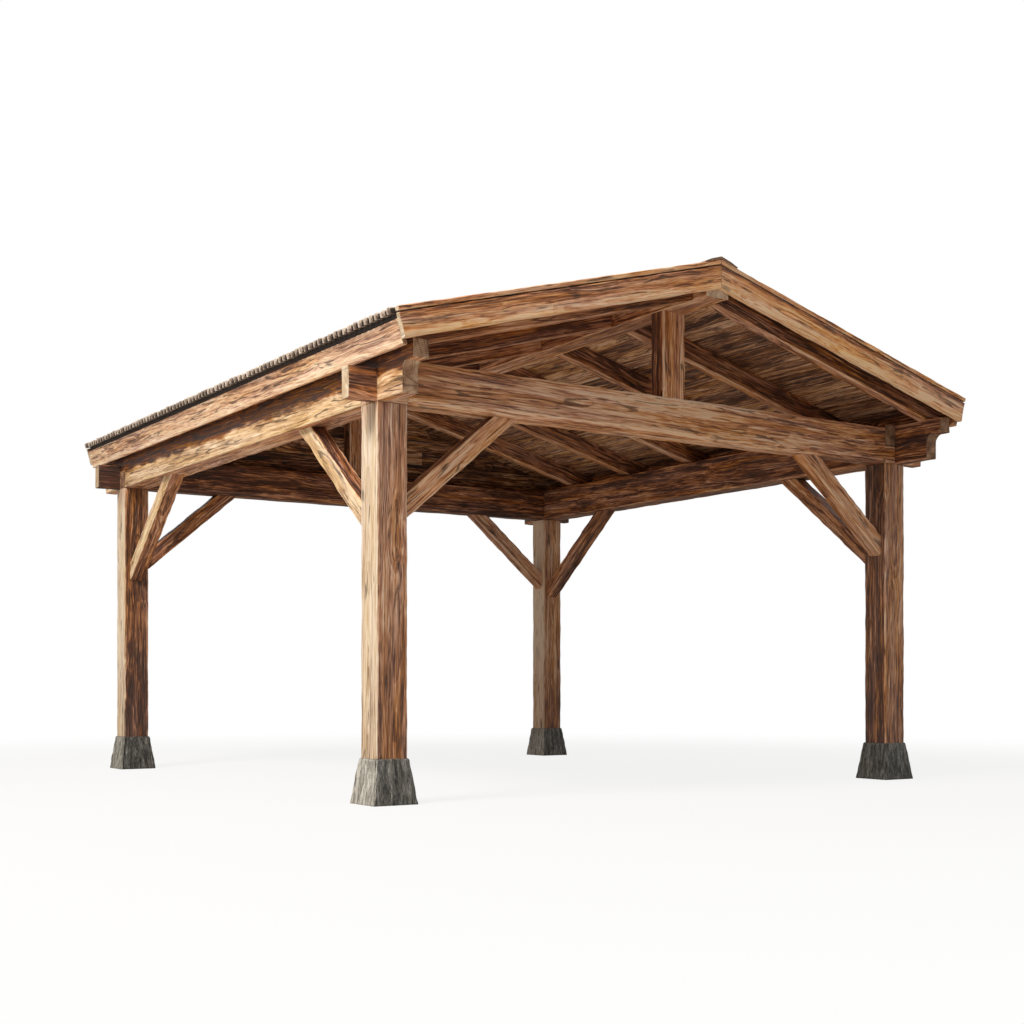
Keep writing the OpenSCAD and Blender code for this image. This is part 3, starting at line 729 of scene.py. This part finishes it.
def add_boards(name, nodes, ends, edges, place, flip, seed, thick):
    """Lays boards of one thickness, each a closed skin of rings along its length, as one piece.

    Board number i lies from edges[i, 0] to edges[i, 1] across; its vee there, the shift of tone of its edge,
    which is a painted shadow along that edge, and that of the whole board follow. Ends turns the places
    across of its eight profile points into where each starts and stops, and place turns (run, across,
    depth) into points. Depth 0 is the face with vees.
    """
    rng = np.random.default_rng(seed)
    many = len(edges)
    share = np.concatenate([[0], np.linspace(0.004, 0.996, 44), [1]])
    shape = (many, len(share), 8)
    near = edges[:, :1] + board_gap
    far = edges[:, 1:2] - board_gap
    across = np.concatenate([near, near, near + edges[:, 2:3], (near * 2 + far) / 3, (near + far * 2) / 3,
                             far - board_vee, far, far], 1)
    vee = edges[:, 2:3] * np.array([0, 1, 0, 0, 0, 0, 0, 0]) + board_vee * np.array([0, 0, 0, 0, 0, 0, 1, 0])
    flush = np.array([1, 0, 0, 0, 0, 0, 0, 1])
    cup = rng.uniform(0, board_cup, (many, 1)) * np.array([0, 0, 0, 1, 1, 0, 0, 0])
    depth = vee + cup + rng.uniform(0, board_uneven, (many, 1)) * (1 - flush) + thick * flush
    low_end, high_end = ends(across)
    run = low_end[:, None] + (high_end - low_end)[:, None] * share[:, None]
    across = np.broadcast_to(across[:, None], shape)
    depth = np.broadcast_to(depth[:, None], shape)
    heart = np.stack([np.zeros(many), (edges[:, 0] + edges[:, 1]) / 2 + rng.uniform(-0.05, 0.05, many),
                      rng.uniform(-0.16, -0.06, many)], 1)[:, None, None]
    lean = rng.uniform(-0.02, 0.02, (many, 1, 1))
    apart = (20 * np.arange(many) + 3.7 * seed)[:, None, None]
    grain = np.stack([run + apart, across, depth - lean * run], 3) - heart
    # The edge's shift darkens that edge: a painted shadow.
    edge_shadow = edges[:, 3, None, None] * np.array([1.0, 0.4, 0.0, 0.0, 0.0, 0.0, 0.0, 0.3])
    tone = rng.uniform(-0.10, 0.10, (many, 1, 1)) + edges[:, 4, None, None] + edge_shadow
    arris = np.array([0.0, 0.3, 0.3, 0.0, 0.0, 0.3, 0.3, 0.0])
    add_piece(name, place(run, across, depth), [dark_boards, end_grain], nodes,
              {"grain": grain, "tone": tone, "arris": arris}, flip)


peak_clear = 0.012
eave_vee = 0.0005
# The eave board's edge is painted nearly black: a painted shadow in the recess under the shakes.
eave_edge_shadow = -1.2
# The left slope's boards are painted lighter than the right's: painted light.
slope_tone = {"left": 0.27, "right": 0.02}
boarding_ends = box("right_roof_boards")
rows = int(np.ceil(rafter_end / board_wide))
lower = rafter_end - board_wide * np.arange(rows)
upper = np.maximum(lower - board_wide, peak_clear)
lower[0] += board_lap
row = np.repeat(np.arange(rows), 2)
half = np.arange(2 * rows) % 2
for side, turned, down, out in slopes:
    rng = np.random.default_rng(300 + (turned > 0))
    joint = rng.choice(rafter_lines[1:rafter_pairs - 1], rows)[row]
    starts = np.where(half == 0, boarding_ends[0][1], joint + board_gap)[:, None]
    stops = np.where(half == 0, joint - board_gap, boarding_ends[1][1])[:, None]
    add_boards(side + "_roof_boarding", [side + "_roof_boards"],
               lambda across: (np.broadcast_to(starts, across.shape), np.broadcast_to(stops, across.shape)),
               np.column_stack([-lower[row], -upper[row], np.where(row == 0, eave_vee, board_vee),
                                np.where(row == 0, eave_edge_shadow, 0.0), 0.0 * row + slope_tone[side]]),
               lambda run, across, depth: (peak - across[..., None] * down + depth[..., None] * out
                                           + run[..., None] * np.array([0, 1, 0])),
               turned < 0, 310 + (turned > 0), board_thick)

gable_low, gable_high = box("rear_gable_boards")
least_board = 0.015
gable_clear = 0.035
butt_reach = 1.4
foot = np.arange(gable_low[2], gable_high[2] - gable_clear - least_board, board_wide)
head = np.minimum(foot + board_wide, gable_high[2] - gable_clear)
row = np.repeat(np.arange(len(foot)), 2)
half = np.arange(2 * len(foot)) % 2
rng = np.random.default_rng(330)
joint = rng.uniform(-butt_reach, butt_reach, len(foot))
clear = np.where(foot > ridge_low[2] - 0.01, ridge_high[0], 0.0)
joint = np.where(clear > 0, 0.0, joint)


def gable_ends(height):
    """Where each level board ends: at the roof's slope, the plate or its tail, a butt or the ridge beam."""
    slope = (ridge_high[2] - height) / np.tan(pitch)
    past_tail = plate_high[0] - tail_thick
    reach = np.minimum(slope, np.where(height < plate_high[2], past_tail, plate_high[0]))
    inner = joint[row][:, None] + np.where(half == 0, -1, 1)[:, None] * (clear[row][:, None] + board_gap)
    inner = np.clip(inner, -reach, reach)
    return np.where(half[:, None] == 0, -reach, inner), np.where(half[:, None] == 0, inner, reach)


add_boards("rear_gable_boarding", ["rear_gable_boards"], gable_ends,
           np.column_stack([foot[row], head[row], 0.0 * row + board_vee, 0.0 * row, 0.0 * row]),
           lambda run, across, depth: np.stack([run, gable_low[1] + depth, across], 3),
           True, 335, gable_high[1] - gable_low[1])


# ----------------------------------------
# Fascias: one wide board along each eave, nailed square to the rafter ends,
# with its lower edge left a little uneven.

# Sawn larch boards under oil: honey brown, coarse wavy grain with long checks, straw on the lamp side,
# partly bleaching and partly painted light.
edge_larch = larch("sawn and oiled larch boards", ["#66381e", "#a06235", "#d18f5f", "#edb27e", "#f7d2a9"],
                   ["#8f6448", "#bb8c69", "#dcb08b", "#ebc9a2", "#f4e0c0"], 0.07, (900, 46), 0.8, jump=0.008)
boards = [edge_larch, end_grain]
fascia_deep = 0.180
for side, turned, down, out in slopes:
    low, high = box(side + "_fascia")
    # Its upper edge is painted darker: a painted shadow under the shakes.
    hewn_stick(side + "_fascia_board", side + "_fascia",
               peak + (rafter_end + fascia_thick / 2) * down, [0, -turned, 0], out,
               spaced(low[1], high[1], 0.04), (-fascia_thick / 2, fascia_thick / 2, -fascia_deep, 0.0),
               boards, heart=(0.09, -0.07), seed=111 + (turned > 0), easing=0.005, hollow=0.002,
               run=(1.4, 0.3), tone=-0.04, weather_and_light=float(turned < 0), lean=(0.01, 0.02), pale_edge=0.28,
               painted_edge_shade=0.12)


# ----------------------------------------
# Barge boards and verge strips: a thick board up each gable, mitred plumb at
# the peak, and a narrower strip on top of it that closes the roof covering.
barge_deep = 0.180
barge_sunk = 0.002
verge_gap = 0.005
verge_high = 0.040
for number, corner in enumerate(corners):
    turned, down, out = slopes["right" in corner][1:]
    low, high = box(corner + "_barge_board")
    half = (high[1] - low[1]) / 2
    start = [0.0, (low[1] + high[1]) / 2, ridge_high[2]]
    places = spaced(0.0, fascia_end, 0.03)
    # The barge board's upper edge is painted darker, more on the right: a painted shadow under the verge
    # strip.
    hewn_stick(corner + "_barge_plank", corner + "_barge_board", start, down, out, places,
               (-half, half, board_thick - barge_deep, board_thick - barge_sunk), boards, heart=(0.06, -0.16),
               seed=121 + number, run=(0.9, 0.3), cuts=(-np.tan(pitch), 0.0), weather_and_light=float(turned < 0),
               tone=0.0 if turned < 0 else 0.07, lean=(0.02, 0.02), pale_edge=0.28 if turned < 0 else 0.40,
               painted_edge_shade=0.2 if turned < 0 else 0.35)
    hewn_stick(corner + "_verge_slat", corner + "_verge_strip", start, down, out, places,
               (-half, half, board_thick + verge_gap, board_thick + verge_high), boards, heart=(0.04, 0.12),
               seed=131 + number, easing=0.006, hollow=0.003, run=(0.7, 0.3), cuts=(-np.tan(pitch), 0.0),
               tone=0.0 if turned < 0 else 0.04, weather_and_light=float(turned < 0))


# ----------------------------------------
# Shakes: narrow pieces of split cedar laid in fourteen courses on each slope,
# each course lapping the one below, the first one thick and proud of the fascia.

# Split cedar left to the weather: silvery grey brown, ribbed along the split, each shake of its own shade.
split_cedar, tree = blank(bpy.data.materials, "split and weathered cedar")
grain = add(tree, "Attribute", out="Vector", attribute_name="grain")
shift = add(tree, "Attribute", out="Fac", attribute_name="tone")
pattern = {}
for part, (long, wide, detail) in {"rib": (300, 10, 2.0), "stain": (190, 60, 3.0)}.items():
    scaled = add(tree, "VectorMath", {0: grain, 1: repeats(long, wide)}, operation="MULTIPLY")
    pattern[part] = add(tree, "TexNoise", {"Vector": scaled, "Scale": 1.0, "Detail": detail,
                                           "Roughness": 0.6})
tone = add(tree, "Math", {0: pattern["rib"], 1: 0.75, 2: -0.175}, operation="MULTIPLY_ADD")
tone = add(tree, "Math", {0: pattern["stain"], 1: 0.6, 2: tone}, operation="MULTIPLY_ADD")
tone = add(tree, "Math", {0: shift, 1: tone}, operation="ADD")
tint = add(tree, "ValToRGB", {"Fac": tone}, stops=[(0.20, "#2a1d16"), (0.38, "#6d5b4e"), (0.51, "#9c8a7c"),
                                                   (0.62, "#c0afa1"), (0.74, "#ddd0c3")])
height = add(tree, "Math", {0: pattern["rib"], 1: 0.006}, operation="MULTIPLY")
close_skin(tree, tint, 0.86, height)

course_step = 0.205
butt_high = 0.052
course_fall = 0.022
courses = 14
shake_long = 1.25 * course_step
shake_wide = (0.062, 0.096)
shake_gap = (0.007, 0.013)
first_gap = 0.010
least_wide = 0.05
shake_top = 0.03
butt_ragged = 0.007
butt_ease = 0.004
shake_uneven = 0.006
least_thick = 0.006
shake_clear = 0.0005
lap_clear = 0.004
shake_low, shake_high = box("right_shakes")
shake_run = shake_high[1] - shake_low[1]
shake_end = (shake_high[0] - (board_thick + butt_high) * np.sin(pitch)) / np.cos(pitch)
# A shake is a wedge: its eight-point profile, domed on top, goes down the slope from head to foot, and falls
# towards the head by as much as its course does. The course's shakes have seeded widths and gaps.
for side, turned, down, out in slopes:
    rng = np.random.default_rng(500 + (turned > 0))
    lay = []
    for course in range(courses):
        edges = np.concatenate([[0.0], np.cumsum(rng.uniform(*shake_wide, 200))])
        edges = np.concatenate([edges[edges < shake_run - least_wide], [shake_run]]) + shake_low[1]
        lay.append(np.column_stack([edges[:-1], edges[1:], np.full(len(edges) - 1, course)]))
    near, far, course = np.concatenate(lay).T
    many = len(course)
    first = course == 0
    gap = rng.uniform(*shake_gap, many) + first_gap * first
    near = near + gap / 2
    far = far - gap / 2
    butt_line = shake_end - course * course_step
    foot = butt_line - rng.uniform(0.0, butt_ragged, many) * (course > 0)
    head = np.maximum(foot - shake_long, shake_top)
    thinner = rng.uniform(0.0, shake_uneven, many)[:, None]
    reach = head[:, None] + (foot - head)[:, None] * np.array([0.0, 0.35, 0.97, 1.0])
    fall = course_fall / course_step * (butt_line[:, None] - reach)
    top = butt_high - fall - thinner - np.array([0.0, 0.0, 0.0, butt_ease])
    under = np.maximum(butt_high - course_fall - fall - lap_clear, shake_clear)
    under = np.minimum(np.where(first[:, None], shake_clear, under), top - least_thick)[..., None]
    across = np.array([-1.0, 1.0, 1.0, 0.78, 0.3, -0.3, -0.78, -1.0])
    lift = np.array([0.0, 0.0, 0.62, 0.9, 1.0, 1.0, 0.9, 0.62])
    ragged = 1 + 0.08 * rng.uniform(-1, 1, (many, 1, 8)) * (lift > 0.8)
    depth = under + (top[..., None] - under) * np.minimum(lift * ragged, 1.0)
    reach = np.broadcast_to(reach[..., None], depth.shape)
    centre = ((near + far) / 2)[:, None, None]
    y = centre + ((far - near) / 2)[:, None, None] * np.broadcast_to(across, depth.shape)
    points = peak + reach[..., None] * down + (board_thick + depth)[..., None] * out
    points[..., 1] = y
    grain = np.stack([reach + 0.9 * np.arange(many)[:, None, None], y - centre, depth], 3)
    # The shakes' sides are painted darker, a painted shade in the gaps between them: strongly on one side of
    # the first course's shakes, lightly on both sides of the others.
    painted_edge_shade = np.where(first[:, None, None], 0.55 * (across < -0.9), 0.18 * (np.abs(across) > 0.9))
    tone = rng.uniform(0.0, 0.18, (many, 1, 1)) + 0.11 * first[:, None, None] - painted_edge_shade
    add_piece(side + "_split_shakes", points, [split_cedar], [side + "_shakes"],
              {"grain": grain, "tone": tone}, turned < 0)


# ----------------------------------------
# Ridge cap: sawn larch boards, two joined as a shallow vee over the peak, laid on
# the top shakes and the verge strips and butted end to end.
cap_low, cap_high = box("ridge_cap")
cap_thick = 0.022
cap_under = board_thick + verge_high
cap_wing = 0.150
cap_gap = 0.002
lengths = 5
# Each length is a shallow vee of ten points, flat below and thinned to its edges above, along the ridge.
rng = np.random.default_rng(700)
starts = np.linspace(cap_low[1], cap_high[1], lengths + 1)
share = np.concatenate([[0], np.linspace(0.003, 0.997, 24), [1]])
y = starts[:-1, None] + cap_gap / 2 + (np.diff(starts)[:, None] - cap_gap) * share
wing = np.array([-1.0, -0.5, 0.0, 0.5, 1.0, 1.0, 0.5, 0.0, -0.5, -1.0]) * cap_wing
lift = np.array([0.0, 0.0, 0.0, 0.0, 0.0, 0.35, 0.85, 1.0, 0.85, 0.35]) * cap_thick + cap_under
x = wing * np.cos(pitch) + np.sign(wing) * lift * np.sin(pitch)
z = ridge_high[2] - np.abs(wing) * np.sin(pitch) + lift * np.cos(pitch)
z = np.where(wing == 0, ridge_high[2] + lift / np.cos(pitch), z)
points = np.stack(np.broadcast_arrays(x, y[..., None], z), 3)
add_piece("ridge_cap_boards", points, beam_timber, ["ridge_cap"],
          {"grain": points[..., [1, 0, 2]] - peak, "tone": rng.uniform(-0.10, -0.02, (lengths, 1, 1))}, True)
